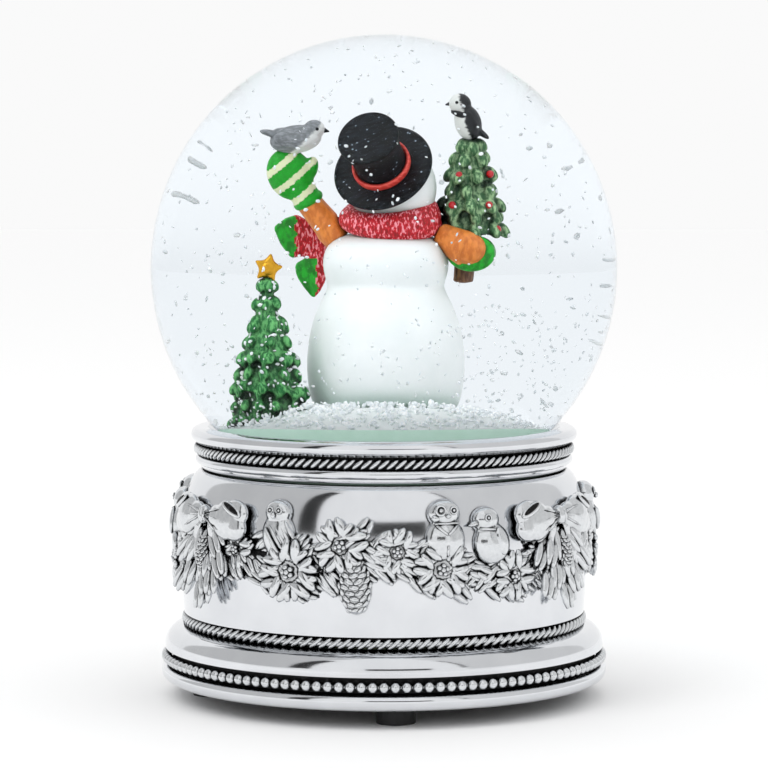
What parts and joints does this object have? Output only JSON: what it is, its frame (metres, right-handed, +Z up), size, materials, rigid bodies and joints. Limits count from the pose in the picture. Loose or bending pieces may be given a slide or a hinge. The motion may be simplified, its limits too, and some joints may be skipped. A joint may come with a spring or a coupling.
{
  "type": "musical snow globe",
  "caption": "Water-filled glass ball with a snowman scene on a round silvered musical base with a garland relief.",
  "frame": {"origin": "on the table, on the ball's axis, under the feet", "axes": "+Z up along the ball's axis, +Y the way the snowman faces, +X towards the tree he holds"},
  "size_m": [0.1, 0.1, 0.1419],
  "materials": {
    "silver_plate": "bright silvered casting with blackened recesses",
    "brass": "bright",
    "steel": "bright",
    "cover_board": "black, satin",
    "black_rubber": "matte",
    "pale_rubber": "matte",
    "clear_glass": "clear, polished",
    "water": "clear liquid",
    "flakes": "white and clear glitter",
    "snow_paint": "white satin paint on cast resin",
    "black_paint": "brushed black paint",
    "coral_paint": "painted",
    "red_paint": "painted knit",
    "sleeve_paint": "painted",
    "green_paint": "painted, cream stripes",
    "grey_paint": "painted",
    "foliage_paint": "dark green with light brush strokes",
    "gold_paint": "painted gold"
  },
  "bodies": {
    "globe_and_base": {"base_flange": "silver_plate", "base_drum": "silver_plate", "base_collar": "silver_plate", "lower_rope_trim": "silver_plate", "upper_rope_trim": "silver_plate", "bead_trim": "silver_plate", "garland_1": "silver_plate", "garland_2": "silver_plate", "garland_3": "silver_plate", "ribbon_bow_1": "silver_plate", "ribbon_bow_2": "silver_plate", "ribbon_bow_3": "silver_plate", "barrel_housing": "brass", "comb_block": "brass", "inner_bearing": "brass", "outer_bearing": "brass", "governor_frame": "brass", "movement_bedplate": "steel", "mainspring": "steel", "steel_comb": "steel", "comb_screw_1": "steel", "comb_screw_2": "steel", "movement_screw_1": "steel", "movement_screw_2": "steel", "cover_screw_1": "steel", "cover_screw_2": "steel", "cover_screw_3": "steel", "bottom_cover": "cover_board", "rubber_foot_1": "black_rubber", "rubber_foot_2": "black_rubber", "rubber_foot_3": "black_rubber", "rubber_foot_4": "black_rubber", "rubber_stopper": "pale_rubber", "glass_globe": "clear_glass", "water_fill": "water", "settled_flakes": "flakes", "snow_mound": "snow_paint", "snowman_body": "snow_paint", "snowman_head": "snow_paint", "top_hat": "black_paint", "hat_band": "coral_paint", "knitted_scarf": "red_paint", "scarf_tails": "red_paint", "left_arm": "sleeve_paint", "right_arm": "sleeve_paint", "left_mitten": "green_paint", "right_mitten": "green_paint", "grey_bird": "grey_paint", "held_tree": "foliage_paint", "sea_bird": "black_paint", "standing_tree": "foliage_paint", "tree_star": "gold_paint"},
    "key_and_crown_wheel": {"winding_key": "brass", "crown_wheel_arbor": "brass"},
    "tune_cylinder": {"pin_cylinder": "brass", "cylinder_arbor": "steel"},
    "governor_shaft": {"governor_arbor": "steel"},
    "air_brake": {"governor_fly": "steel"}
  },
  "joints": [
    {"name": "key_turn", "type": "hinge", "parent": "globe_and_base", "child": "key_and_crown_wheel", "pos_m": [0, 0, 0.012], "axis": [0, 0, 1], "continuous": true},
    {"name": "cylinder_turn", "type": "hinge", "parent": "globe_and_base", "child": "tune_cylinder", "pos_m": [0.016, 0, 0.02917], "axis": [1, 0, 0], "continuous": true},
    {"name": "governor_shaft_turn", "type": "hinge", "parent": "globe_and_base", "child": "governor_shaft", "pos_m": [0.025, 0.01051, 0.02337], "axis": [1, 0, 0], "continuous": true},
    {"name": "air_brake_turn", "type": "hinge", "parent": "globe_and_base", "child": "air_brake", "pos_m": [0.0258, 0.01636, 0.02337], "axis": [0, 0, 1], "continuous": true}
  ],
  "couplings": [
    {"joint": "cylinder_turn", "follows": "key_turn", "ratio": 4},
    {"joint": "governor_shaft_turn", "follows": "key_turn", "ratio": -12},
    {"joint": "air_brake_turn", "follows": "key_turn", "ratio": 48}
  ]
}
